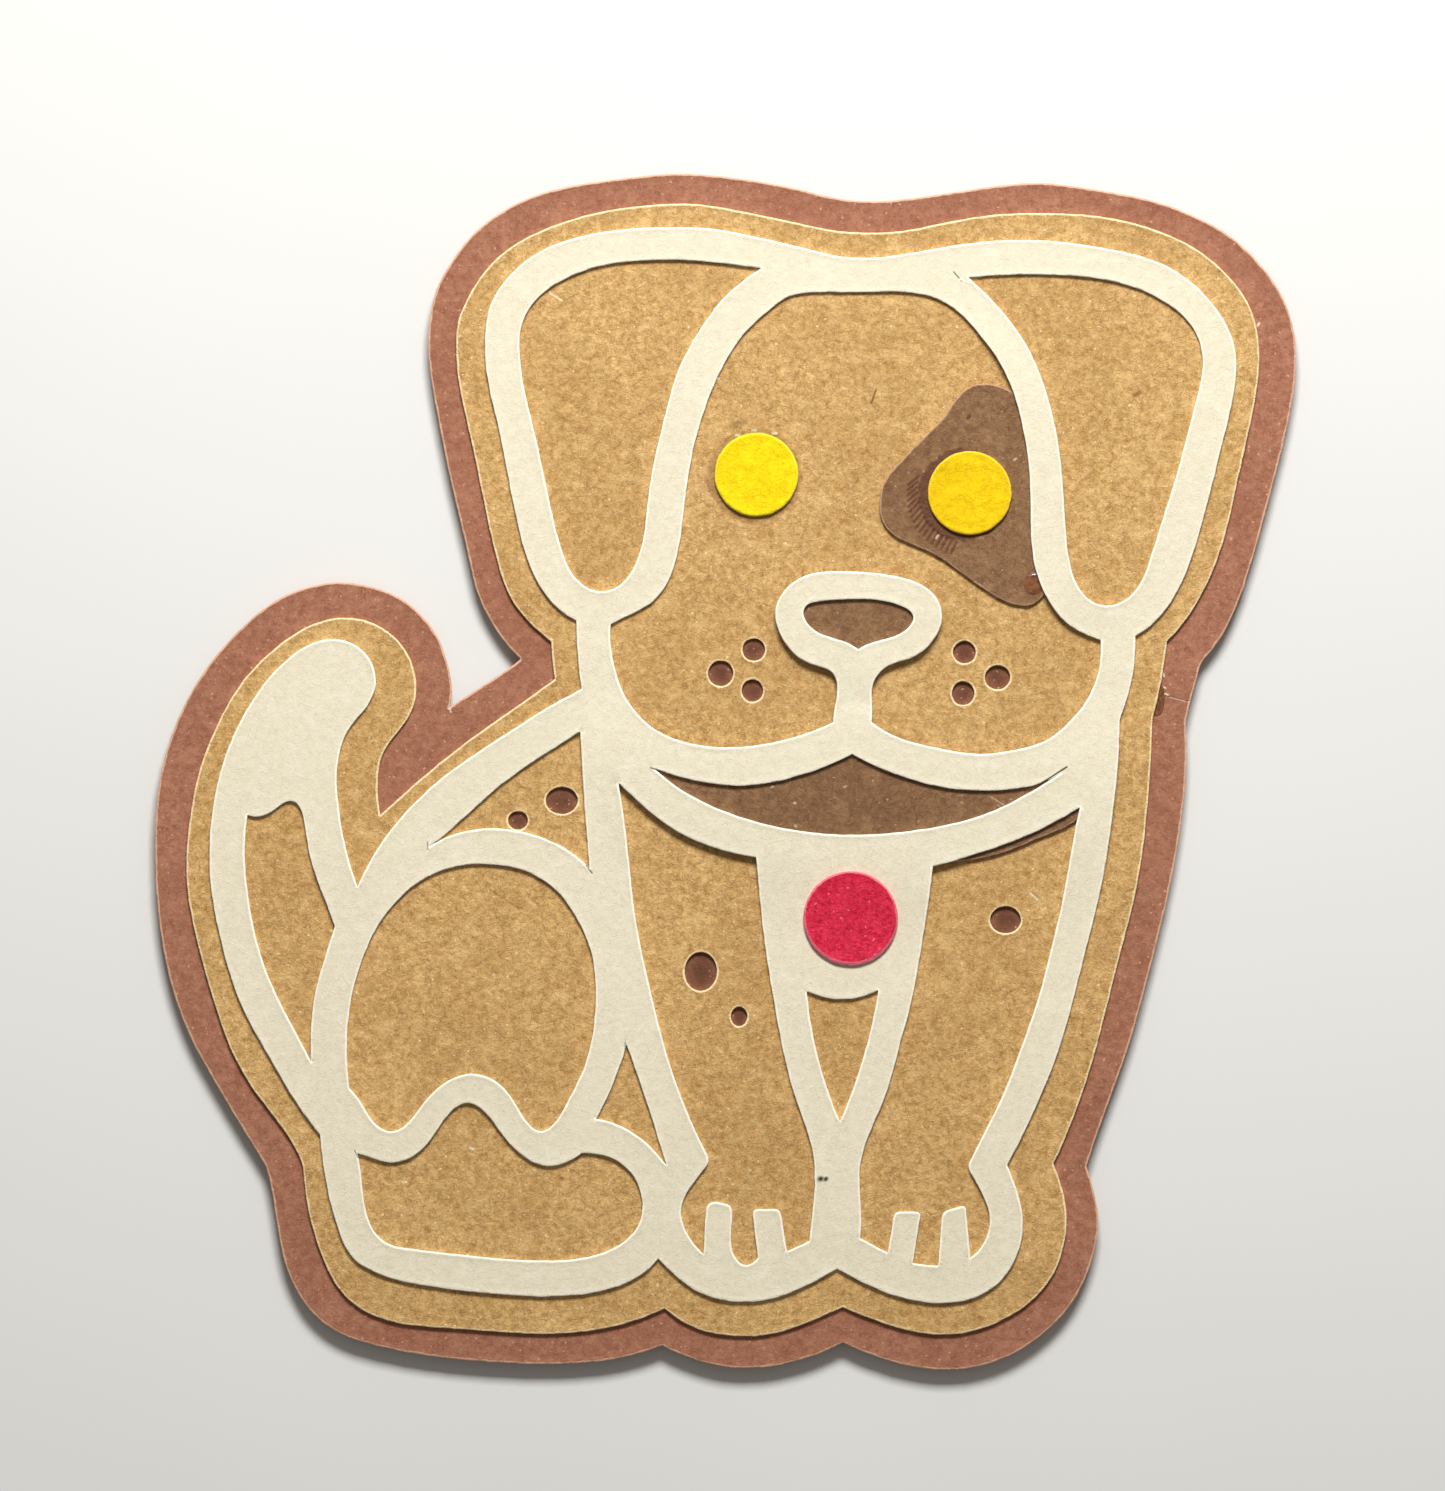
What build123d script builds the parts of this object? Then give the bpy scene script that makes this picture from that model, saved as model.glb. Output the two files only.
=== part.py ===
"""Layered card die-cut of a sitting puppy, face on, lying on its back.

Four thicknesses of coloured card are glued on top of each other: a backing card, a coat card with
punched spots, three brown filler cards and a cream outline card, with punched card dots for the
eyes and the chest.  Foam pads on the back lift it off whatever it is stuck to.

+X is to the right of the puppy as it is looked at, +Y is towards its ears and +Z comes out of its
face.  The origin is on the resting face, in the middle of the backing card's box.
"""

import os

from build123d import *

os.makedirs("parts", exist_ok=True)

# ---------------------------------------------------------------- driving dimensions, millimetres

card_thickness = 0.30
glue_thickness = 0.05
foam_thickness = 1.00

eye_dot_diameter = 6.35  # 1/4 in hand punch
chest_dot_diameter = 7.14  # 9/32 in hand punch
filler_overlap = 1.2  # how far a filler card is hidden beyond the opening that shows it

# heights of the undersides, from the resting face up
backing_z = foam_thickness
coat_glue_z = backing_z + card_thickness
coat_z = coat_glue_z + glue_thickness
filler_glue_z = coat_z + card_thickness
filler_z = filler_glue_z + glue_thickness
raised_glue_z = filler_z + card_thickness
raised_z = raised_glue_z + glue_thickness
chest_glue_z = raised_z + card_thickness
chest_dot_z = chest_glue_z + glue_thickness

# the outline card climbs over the filler cards between these heights of the figure
climb_top_end = 36.2
climb_top_start = 29.4
climb_bottom_start = -16.4
climb_bottom_end = -25.0

foam_pad_size = 6.0
glue_dot_radius = 0.8
small_glue_dot_radius = 0.45
squeezed_glue_radius = 0.9
dot_glue_radius = 2.0


# ---------------------------------------------------------------------------------- helpers


def closed_shape(*stretches):
    """Return the face inside a closed line made of stretches that meet in corners.

    Each stretch is a list of points.  It starts where the one before it ended, and the last one
    ends where the first began.  One more point makes a straight edge, several a smooth curve.
    """
    with BuildSketch() as sketch:
        with BuildLine():
            start = stretches[-1][-1]
            for stretch in stretches:
                points = [start, *stretch]
                if len(points) == 2:
                    Line(*points)
                elif len(points) == 3:
                    ThreePointArc(*points)
                else:
                    Spline(*points)
                start = points[-1]
        make_face()
    return sketch.sketch


def loop_shape(*points):
    """Return the face inside one smooth closed curve through the points."""
    with BuildSketch() as sketch:
        with BuildLine():
            Spline(*points, periodic=True)
        make_face()
    return sketch.sketch


def grown(shape, amount):
    """Return the shape with a margin added all round, as plain curves rather than offsets of them."""
    with BuildSketch() as sketch:
        add(shape)
        offset(amount=amount, kind=Kind.ARC)
    return sketch.sketch.to_splines()


def finish_piece(piece, name):
    """Label a finished piece and write it to its own file."""
    piece.part.label = name
    export_step(piece.part, f"parts/{name}.step")


# ------------------------------------------------------------- outer edge of the outline card

# clockwise from the notch under the left ear: over both ears to the notch under the right one
head = [
    (-12.2, 11.8), (-13.3, 12.8), (-14.3, 14.3), (-15.1, 16.2), (-15.8, 18.9), (-16.4, 21.9),
    (-17.3, 26.4),
    (-18.1, 30.2), (-18.2, 32.4), (-17.9, 34.8), (-16.0, 37.7), (-13.8, 39.3), (-11.0, 40.3),
    (-8.2, 40.8), (-5.0, 41.0), (-0.4, 40.8), (2.6, 40.2), (5.6, 39.5), (8.6, 38.8),
    (12.4, 38.8), (15.4, 39.3), (20.7, 40.0), (25.2, 39.9), (29.7, 39.2), (33.0, 38.2),
    (35.2, 36.8), (37.2, 34.6), (38.4, 32.0), (38.5, 29.4), (37.9, 26.4), (36.2, 19.6),
    (35.0, 15.6), (33.6, 12.7), (32.4, 11.2), (30.9, 10.1),
]
right_cheek = [(30.7, 7.2), (29.7, 3.9)]
right_flank = [
    (29.6, 0.8), (29.1, -3.8), (28.1, -9.8), (27.1, -13.7), (25.1, -21.1), (23.6, -24.9),
    (21.2, -29.8),
]
right_front_paw = [
    (22.1, -32.2), (22.4, -34.4), (21.8, -36.9), (20.3, -38.9), (18.0, -40.0), (15.7, -40.2),
    (12.6, -39.6), (8.4, -37.6),
]
left_front_paw = [
    (5.6, -39.1), (3.3, -39.9), (1.0, -40.1), (-1.3, -39.7), (-3.5, -38.4), (-5.1, -36.8),
]
back_foot = [
    (-6.9, -38.4), (-9.4, -39.3), (-13.3, -39.7), (-18.6, -39.4), (-23.1, -38.8), (-26.2, -38.0),
    (-28.2, -36.7), (-29.4, -34.1), (-30.1, -31.4), (-30.6, -27.5),
]
tail = [
    (-32.2, -25.4), (-34.3, -21.9), (-36.7, -17.4), (-38.1, -12.9), (-38.9, -8.3), (-38.9, -4.5),
    (-38.0, 0.4), (-36.2, 4.5), (-33.4, 8.1), (-31.4, 9.5), (-29.5, 9.9), (-27.5, 9.1),
    (-26.4, 6.8), (-27.1, 4.8), (-28.4, 3.2), (-29.3, 0.6), (-29.2, -3.0), (-28.5, -6.6),
    (-27.8, -8.8),
]
rump = [(-25.8, -5.2), (-24.1, -3.1), (-20.8, -0.1), (-17.1, 2.4), (-14.0, 4.4), (-10.9, 6.1)]
left_cheek = [(-11.2, 8.7), (-11.3, 11.3)]

figure = closed_shape(
    head, right_cheek, right_flank, right_front_paw, left_front_paw, back_foot, tail, rump, left_cheek
)


# ------------------------------------------------------------------------ openings in the outline

left_ear_opening = closed_shape([
    (1.1, 36.8), (-0.4, 35.4), (-2.0, 33.2), (-3.6, 30.2), (-4.7, 26.4), (-5.7, 21.9),
    (-6.1, 18.5), (-6.9, 15.4), (-8.1, 13.9), (-9.7, 13.5), (-11.2, 14.3), (-12.4, 16.6),
    (-13.5, 21.1), (-14.5, 25.7), (-15.6, 31.7), (-15.3, 34.0), (-14.1, 35.8), (-12.4, 37.0),
    (-9.4, 38.1), (-6.1, 38.5), (-2.7, 38.5), (-0.4, 38.3), (2.7, 37.9),
])
right_ear_opening = closed_shape([
    (20.7, 37.4), (25.2, 37.4), (28.3, 37.1), (31.3, 36.3), (33.7, 35.0), (35.4, 33.2),
    (36.0, 31.3), (35.5, 27.9), (33.9, 21.9), (32.0, 15.9), (31.1, 13.8), (29.9, 12.7),
    (28.4, 12.4), (27.2, 13.0), (26.3, 14.4), (25.7, 17.4), (25.2, 23.8), (24.4, 27.8),
    (23.3, 30.9), (21.4, 34.0), (19.4, 36.2), (18.3, 37.2),
])
face_opening = closed_shape(
    # forehead, from the corner over the left cheek to the corner over the right one
    [
        (-6.5, 12.1), (-5.3, 12.9), (-4.3, 14.4), (-3.6, 16.6), (-2.9, 21.9), (-1.9, 26.4),
        (-0.4, 30.2), (1.4, 33.0), (3.2, 34.7), (4.8, 35.8), (6.7, 36.1), (10.5, 36.1),
        (15.0, 35.9), (16.4, 35.4), (18.9, 33.2), (21.0, 30.2), (22.3, 26.4), (23.0, 20.4),
        (23.2, 15.9), (24.1, 13.2), (25.7, 11.1), (27.4, 10.1), (28.3, 9.8),
    ],
    # right cheek
    [
        (28.1, 7.4), (27.2, 5.2), (25.9, 3.6), (24.1, 2.2), (21.8, 1.5), (19.2, 1.2),
        (16.2, 1.6), (13.1, 2.4), (11.0, 3.6),
    ],
    # up the muzzle line and round the outside of the nose
    [
        (11.0, 5.3), (11.2, 6.8), (12.1, 7.8), (13.9, 8.4), (15.5, 9.6), (16.3, 11.3),
        (15.9, 13.0), (14.5, 14.1), (12.4, 14.7), (9.0, 15.0), (5.6, 14.5), (4.3, 13.4),
        (3.7, 11.9), (4.1, 10.2), (5.2, 8.7), (6.7, 7.9), (8.1, 7.3), (8.4, 6.4), (8.3, 5.2),
        (8.1, 3.6),
    ],
    # left cheek
    [
        (5.6, 2.6), (2.6, 1.9), (-0.1, 1.7), (-2.7, 2.0), (-5.4, 3.1), (-7.2, 4.9),
        (-8.3, 7.3), (-8.7, 9.4), (-8.7, 11.0),
    ],
)
nose_opening = closed_shape([
    (8.6, 9.8), (7.1, 10.3), (6.1, 11.1), (5.8, 11.9), (6.1, 12.5), (6.8, 12.7), (9.4, 12.9),
    (12.9, 12.5), (14.2, 11.6), (13.5, 10.5), (11.7, 9.8), (10.0, 9.1),
])
mouth_opening = closed_shape(
    [(-1.9, -0.9), (1.1, -1.2), (4.1, -0.8), (7.1, 0.1), (9.5, 1.2)],
    [(11.7, 0.1), (14.6, -0.9), (17.7, -1.5), (20.9, -1.5), (23.4, -1.1), (25.2, -0.3)],
    [
        (22.2, -2.1), (19.9, -3.2), (16.9, -4.1), (13.1, -4.7), (9.4, -4.9), (5.6, -4.6),
        (2.6, -4.0), (-0.4, -3.0), (-2.7, -1.9), (-5.4, 0.1),
    ],
)
left_leg_opening = closed_shape(
    [(-6.5, -2.5), (-4.4, -4.2), (-2.4, -5.3), (-0.2, -6.1), (2.3, -6.6)],
    [
        (2.6, -10.2), (3.0, -13.6), (3.6, -17.4), (4.3, -21.1), (5.3, -24.9), (6.5, -28.6),
        (6.7, -30.2), (6.6, -32.5), (6.3, -35.5),
    ],
    [(4.6, -36.3)],
    [(4.1, -33.1)],
    [(2.0, -33.1)],
    [(2.4, -36.8)],
    [(1.2, -37.3), (0.6, -36.6), (0.4, -34.8), (0.4, -32.8)],
    [(-1.0, -32.5)],
    [(-1.5, -32.8)],
    [(-1.7, -36.5)],
    [(-3.1, -34.6), (-3.4, -33.1), (-2.7, -31.5), (-1.2, -29.4)],
    [
        (-2.7, -26.3), (-4.4, -21.6), (-5.7, -16.6), (-6.8, -11.3), (-7.4, -6.0), (-8.1, -1.0),
    ],
)
right_leg_opening = closed_shape(
    [(17.7, -6.7), (20.8, -5.7), (24.1, -4.3), (26.7, -2.8)],
    [
        (26.0, -6.3), (25.4, -9.8), (24.5, -13.6), (23.5, -17.4), (22.2, -21.1), (20.7, -24.9),
        (19.2, -27.9), (18.2, -29.9),
    ],
    [(19.4, -32.1), (19.9, -33.8), (19.7, -35.1), (18.4, -36.8)],
    [(18.1, -32.8)],
    [(16.3, -33.3)],
    [(16.0, -37.4)],
    [(14.1, -37.2)],
    [(14.7, -33.3)],
    [(12.7, -33.3)],
    [(12.2, -36.4)],
    [(10.1, -35.3)],
    [
        (10.1, -32.0), (10.1, -29.9), (10.4, -28.5), (11.9, -24.9), (13.0, -21.1), (14.0, -17.4),
        (14.7, -13.6), (15.3, -9.8), (15.6, -7.3),
    ],
)
bib_opening = closed_shape(
    [(8.8, -17.3), (11.5, -16.6)],
    [(10.3, -21.9), (8.6, -26.5)],
    [(7.0, -21.9), (6.1, -16.7)],
)
haunch_opening = closed_shape([
    (-28.6, -20.9), (-28.4, -18.1), (-27.5, -14.4), (-25.7, -10.9), (-23.8, -8.9), (-21.5, -7.6),
    (-17.8, -7.1), (-15.5, -7.5), (-13.2, -8.7), (-11.4, -10.9), (-10.2, -13.6), (-9.8, -16.6),
    (-10.0, -19.6), (-10.8, -22.7), (-12.0, -25.1), (-13.1, -26.8), (-14.0, -27.3),
    (-14.9, -26.7), (-15.9, -25.1), (-17.3, -23.5), (-19.0, -22.9), (-20.5, -23.2),
    (-22.0, -24.2), (-23.1, -25.5), (-24.3, -26.9), (-25.3, -27.3), (-26.2, -26.9),
    (-27.1, -25.8), (-28.4, -24.0),
])
back_foot_opening = closed_shape(
    [
        (-26.3, -29.4), (-24.9, -29.6), (-23.5, -29.1), (-22.2, -27.8), (-20.8, -25.8),
        (-19.5, -25.1), (-18.2, -25.8), (-16.7, -27.7), (-15.2, -29.2), (-13.3, -29.9),
        (-11.8, -29.5), (-10.9, -28.9),
    ],
    [
        (-9.1, -29.1), (-7.4, -30.1), (-6.4, -31.9), (-6.5, -34.1), (-8.0, -35.8),
        (-10.8, -36.8), (-14.0, -37.0), (-18.6, -36.7), (-23.8, -36.1), (-25.7, -35.6),
        (-26.7, -34.5), (-27.3, -32.5), (-27.8, -28.9),
    ],
)
hock_opening = closed_shape(
    [(-8.0, -26.8), (-6.5, -27.7), (-5.5, -28.6), (-4.5, -29.8)],
    [(-5.7, -25.9), (-7.5, -20.7)],
    [(-8.4, -23.4), (-9.8, -26.3)],
)
rump_opening = closed_shape(
    [(-20.1, -3.9), (-17.1, -1.2), (-14.0, 1.0), (-11.0, 2.9)],
    [(-10.7, -2.3), (-10.3, -7.4)],
    [(-12.5, -5.7), (-15.2, -4.7), (-17.8, -4.4), (-20.4, -4.8), (-22.4, -5.8)],
)
tail_opening = closed_shape(
    [(-35.0, -3.5), (-34.2, -3.1), (-33.5, -2.5), (-32.8, -2.3), (-32.2, -2.7), (-31.8, -3.9),
     (-31.4, -6.4), (-30.6, -8.9), (-29.5, -11.8)],
    [(-30.5, -14.9), (-31.1, -17.4), (-31.3, -19.6), (-31.3, -22.0)],
    [(-32.1, -20.4), (-33.7, -17.4), (-35.2, -13.6), (-36.0, -9.8), (-36.3, -6.8), (-36.1, -3.4)],
)
openings = [
    left_ear_opening, right_ear_opening, face_opening, nose_opening, mouth_opening,
    left_leg_opening, right_leg_opening, bib_opening, haunch_opening, back_foot_opening,
    hock_opening, rump_opening, tail_opening,
]

# ------------------------------------------------------------------------- outer edge of the coat

coat_shape = closed_shape(
    # over both ears, from the notch under the left one to the notch under the right one
    [
        (-15.0, 11.3), (-16.2, 12.9), (-17.3, 15.9), (-18.0, 18.9), (-18.6, 21.9), (-19.6, 26.4),
        (-20.3, 30.2), (-20.4, 32.1), (-20.2, 34.0), (-19.6, 35.5), (-17.5, 38.5), (-15.5, 40.0),
        (-12.0, 41.5), (-9.4, 42.2), (-5.7, 42.7), (-2.7, 42.8), (1.8, 42.1), (5.6, 41.3),
        (8.0, 40.8), (11.0, 40.6), (13.1, 40.7), (16.2, 41.3), (20.7, 42.0), (23.7, 42.1),
        (26.7, 42.0), (29.7, 41.6), (32.8, 40.7), (35.8, 39.2), (38.0, 37.3), (39.4, 35.4),
        (40.2, 32.8), (40.1, 28.7), (38.8, 22.6), (37.8, 18.1), (36.0, 13.4), (33.3, 9.7),
    ],
    # right cheek
    [(33.0, 7.5), (32.2, 3.9)],
    # right flank
    [
        (32.1, 1.1), (31.8, -3.0), (30.8, -9.8), (29.8, -13.6), (27.9, -21.1), (26.7, -24.9),
        (24.7, -29.7),
    ],
    # right front paw
    [
        (25.4, -31.7), (25.7, -33.8), (25.4, -36.2), (24.4, -38.5), (22.6, -40.4), (19.9, -41.9),
        (16.5, -42.6), (13.1, -42.1), (8.8, -40.5),
    ],
    # left front paw
    [(5.6, -41.9), (2.2, -42.7), (0.7, -42.7), (-2.0, -42.2), (-4.6, -40.6)],
    # back foot
    [
        (-6.5, -41.4), (-10.3, -42.3), (-14.8, -42.5), (-20.8, -42.1), (-26.9, -41.0),
        (-28.8, -39.6), (-30.5, -36.6), (-31.5, -33.2), (-31.9, -29.8),
    ],
    # tail
    [
        (-33.1, -27.5), (-35.0, -25.0), (-37.2, -21.4), (-38.6, -17.6), (-40.1, -12.1),
        (-40.7, -8.4), (-40.7, -6.0), (-40.4, -3.2), (-39.8, -0.2), (-38.9, 2.3), (-36.1, 7.2),
        (-34.4, 8.9), (-31.0, 11.1), (-28.3, 11.5), (-25.3, 10.3), (-24.1, 8.9), (-23.5, 7.4),
        (-23.4, 5.7), (-23.9, 4.1), (-25.8, 1.5), (-26.3, -1.5), (-26.1, -3.4),
    ],
    # rump
    [(-23.2, -0.8), (-20.8, 1.2), (-17.1, 3.9), (-12.9, 6.9)],
    # left cheek
    [(-13.1, 8.3), (-13.2, 9.7)],
)

# the punched spots that let the backing show: middle, half width, half height
spots = [
    ((2.1, 9.1), 0.90, 0.90),
    ((2.0, 6.0), 0.85, 0.90),
    ((-0.4, 7.3), 1.00, 1.00),
    ((18.0, 8.9), 0.90, 0.90),
    ((17.9, 5.8), 0.90, 0.95),
    ((20.5, 7.0), 1.00, 0.95),
    ((-15.7, -3.8), 0.80, 0.75),
    ((-12.4, -2.3), 1.25, 1.05),
    ((-1.9, -15.2), 1.25, 1.50),
    ((1.0, -18.6), 0.65, 0.80),
    ((21.1, -11.3), 1.20, 1.05),
]

# ---------------------------------------------------------------------- outer edge of the backing

# about 2.4 mm outside the coat all round
backing_shape = closed_shape(
    # over both ears, from the notch under the left one to the notch under the right one
    [
        (-16.8, 9.8), (-17.8, 11.3), (-18.6, 12.9), (-19.4, 15.9), (-20.8, 21.9), (-22.0, 27.9),
        (-22.5, 31.7), (-22.3, 34.7), (-21.6, 37.0), (-20.7, 38.5), (-19.6, 40.0), (-18.0, 41.5),
        (-15.5, 43.0), (-13.3, 43.8), (-9.7, 44.5), (-6.5, 44.9), (-3.5, 45.1), (-0.4, 44.9),
        (5.6, 43.9), (8.6, 43.2), (10.9, 43.0), (14.6, 43.3), (20.7, 44.2), (23.3, 44.4),
        (26.7, 44.1), (29.7, 43.6), (32.8, 42.9), (35.8, 41.7), (38.1, 40.4), (39.6, 39.1),
        (41.8, 36.3), (42.8, 33.8), (43.1, 31.3), (42.8, 27.9), (41.3, 21.5), (39.4, 14.7),
        (37.3, 9.9), (35.9, 8.2),
    ],
    # right cheek
    [(35.3, 6.0), (34.7, 3.6)],
    # right flank
    [
        (34.8, 1.1), (34.5, -3.0), (33.7, -7.9), (31.6, -16.6), (30.3, -21.1), (28.8, -25.3),
        (27.2, -29.9),
    ],
    # right front paw
    [
        (27.9, -32.4), (28.1, -34.4), (27.6, -37.0), (26.3, -39.9), (24.1, -42.4), (21.1, -44.3),
        (17.7, -45.2), (15.5, -45.2), (12.4, -44.6), (8.8, -43.2),
    ],
    # left front paw
    [(5.6, -44.5), (2.2, -45.1), (-0.8, -44.9), (-3.1, -44.2), (-4.8, -43.4)],
    # back foot
    [
        (-6.5, -44.0), (-12.5, -44.8), (-17.1, -44.7), (-21.6, -44.3), (-26.1, -43.5),
        (-29.5, -42.3), (-31.6, -40.5), (-33.1, -37.7), (-33.9, -34.0), (-34.7, -29.9),
    ],
    # tail
    [
        (-36.2, -27.5), (-38.6, -23.5), (-40.3, -20.4), (-41.5, -17.4), (-42.6, -12.8),
        (-43.1, -6.9), (-42.8, -1.0), (-41.3, 4.1), (-39.8, 6.9), (-37.9, 9.4), (-35.9, 11.4),
        (-33.7, 13.0), (-31.7, 13.8), (-29.1, 14.2), (-26.6, 13.8), (-24.6, 13.0), (-22.9, 11.6),
        (-21.7, 9.9), (-21.1, 8.3), (-20.7, 6.4), (-20.9, 4.7),
    ],
    # rump
    [(-19.9, 5.4), (-17.1, 7.2), (-15.5, 8.4)],
)

# ---------------------------------------------------------------------------- the filler shapes

eye_patch_shape = loop_shape(
    (19.4, 29.2), (18.3, 28.9), (17.5, 28.2), (16.7, 27.0), (14.8, 25.0), (12.9, 23.0),
    (11.9, 21.7), (11.6, 20.4), (11.8, 18.8), (12.7, 17.7), (14.4, 16.9), (16.2, 16.0),
    (19.4, 13.7), (20.9, 12.8), (22.3, 12.4), (23.4, 12.6), (24.1, 13.4), (24.4, 15.0),
    (24.4, 17.4), (24.1, 22.6), (23.3, 26.4), (22.5, 27.9), (21.4, 28.7),
)
mouth_shape = loop_shape(
    (-6.2, 0.4), (-4.4, 0.6), (-2.2, 0.2), (1.1, 0.0), (4.3, 0.4), (7.3, 1.3), (9.5, 2.2),
    (11.7, 1.3), (14.8, 0.3), (17.7, -0.3), (20.9, -0.3), (23.8, 0.1), (26.0, 0.2),
    (27.2, -1.2), (27.4, -2.8), (26.6, -3.7), (25.2, -4.5), (23.7, -5.1), (20.7, -6.3),
    (17.7, -6.9), (15.4, -7.0), (11.6, -6.6), (5.6, -5.8), (2.4, -5.2), (-0.6, -4.2),
    (-3.1, -3.0), (-5.6, -1.2),
)

# ------------------------------------------------------------------------------------ the cards

with BuildPart() as backing_card:
    with BuildSketch(Plane.XY.offset(backing_z)):
        add(backing_shape)
    extrude(amount=card_thickness)
finish_piece(backing_card, "backing_card")

with BuildPart() as coat_card:
    with BuildSketch(Plane.XY.offset(coat_z)):
        add(coat_shape)
        for middle, half_width, half_height in spots:
            with Locations(middle):
                Ellipse(half_width, half_height, mode=Mode.SUBTRACT)
    extrude(amount=card_thickness)
finish_piece(coat_card, "coat_card")

with BuildPart() as eye_patch_card:
    with BuildSketch(Plane.XY.offset(filler_z)):
        add(eye_patch_shape)
    extrude(amount=card_thickness)
finish_piece(eye_patch_card, "eye_patch_card")

with BuildPart() as nose_card:
    with BuildSketch(Plane.XY.offset(filler_z)):
        add(grown(nose_opening, filler_overlap))
    extrude(amount=card_thickness)
finish_piece(nose_card, "nose_card")

with BuildPart() as mouth_card:
    with BuildSketch(Plane.XY.offset(filler_z)):
        add(mouth_shape)
    extrude(amount=card_thickness)
finish_piece(mouth_card, "mouth_card")

# the outline card is a sheet that climbs over the fillers and comes down again, cut to its outline
sheet_reach = 50.0
sheet_underside = [
    (-sheet_reach, filler_z),
    (climb_bottom_end, filler_z),
    (climb_bottom_start, raised_z),
    (climb_top_start, raised_z),
    (climb_top_end, filler_z),
    (sheet_reach, filler_z),
]
sheet_topside = [(along, height + card_thickness) for along, height in reversed(sheet_underside)]

with BuildPart() as outline_card:
    with BuildSketch(Plane.YZ.offset(-sheet_reach)):
        with BuildLine():
            Polyline(*sheet_underside, *sheet_topside, close=True)
        make_face()
    extrude(amount=2 * sheet_reach)
    with BuildSketch(Plane.XY):
        add(figure)
        for opening in openings:
            add(opening, mode=Mode.SUBTRACT)
    extrude(amount=raised_z + 2 * card_thickness, mode=Mode.INTERSECT)
finish_piece(outline_card, "outline_card")

# ------------------------------------------------------------------------------- punched dots

left_eye_middle = (2.3, 22.3)
right_eye_middle = (18.4, 20.9)
chest_dot_middle = (9.4, -11.2)

with BuildPart() as left_eye_dot:
    with BuildSketch(Plane.XY.offset(filler_z)):
        with Locations(left_eye_middle):
            Circle(eye_dot_diameter / 2)
    extrude(amount=card_thickness)
finish_piece(left_eye_dot, "left_eye_dot")

with BuildPart() as right_eye_dot:
    with BuildSketch(Plane.XY.offset(raised_z)):
        with Locations(right_eye_middle):
            Circle(eye_dot_diameter / 2)
    extrude(amount=card_thickness)
finish_piece(right_eye_dot, "right_eye_dot")

with BuildPart() as chest_dot:
    with BuildSketch(Plane.XY.offset(chest_dot_z)):
        with Locations(chest_dot_middle):
            Circle(chest_dot_diameter / 2)
    extrude(amount=card_thickness)
finish_piece(chest_dot, "chest_dot")

# ------------------------------------------------------------------------- foam pads on the back

pad_middles = [(0.0, 0.0), (-10.0, 28.0), (29.0, 28.0), (-33.0, -8.0), (-18.0, -35.0), (14.0, -36.0)]

with BuildPart() as foam_pads:
    with BuildSketch(Plane.XY):
        with Locations(*pad_middles):
            Rectangle(foam_pad_size, foam_pad_size)
    extrude(amount=foam_thickness)
finish_piece(foam_pads, "foam_pads")

# ---------------------------------------------------------------------------- dried glue dots


def glue_dots(name, height, middles, radius, thickness=glue_thickness):
    """Make one piece out of flat round dots of dried glue and write it."""
    with BuildPart() as dots:
        with BuildSketch(Plane.XY.offset(height)):
            with Locations(*middles):
                Circle(radius)
        extrude(amount=thickness)
    finish_piece(dots, name)


coat_glue_middles = [
    (-14.0, 36.0), (-4.0, 30.0), (12.0, 37.0), (26.0, 37.0), (36.0, 30.0), (31.0, 18.0),
    (-12.0, 18.0), (2.0, 16.0), (18.0, 16.0), (-8.0, 4.0), (8.0, 0.0), (28.0, 2.0),
    (-35.0, 2.0), (-36.0, -12.0), (-20.0, -8.0), (-5.0, -12.0), (10.0, -14.0), (27.0, -14.0),
    (-30.0, -24.0), (-15.0, -22.0), (2.0, -26.0), (18.0, -24.0), (-28.0, -36.0), (-14.0, -38.0),
    (0.0, -38.0), (20.0, -36.0),
]
with BuildPart() as coat_glue:
    with BuildSketch(Plane.XY.offset(coat_glue_z)):
        with Locations(*coat_glue_middles):
            Circle(glue_dot_radius)
        # squeezed out into sight beside the right cheek
        with Locations((32.5, 5.4)):
            Ellipse(0.7, 1.5)
    extrude(amount=glue_thickness)
finish_piece(coat_glue, "coat_glue")

glue_dots("eye_patch_glue", filler_glue_z, [(15.0, 21.0), (19.0, 26.0), (21.5, 15.5)], glue_dot_radius)
glue_dots("nose_glue", filler_glue_z, [(7.5, 11.5), (10.0, 10.8), (12.5, 11.5)], glue_dot_radius)
glue_dots(
    "mouth_glue", filler_glue_z, [(-2.0, -1.5), (5.0, -2.5), (13.0, -3.0), (21.0, -2.5)], glue_dot_radius
)
glue_dots("left_eye_glue", filler_glue_z, [left_eye_middle], dot_glue_radius)
glue_dots("right_eye_glue", raised_glue_z, [right_eye_middle], dot_glue_radius)
glue_dots("chest_dot_glue", chest_glue_z, [chest_dot_middle], dot_glue_radius)

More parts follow.
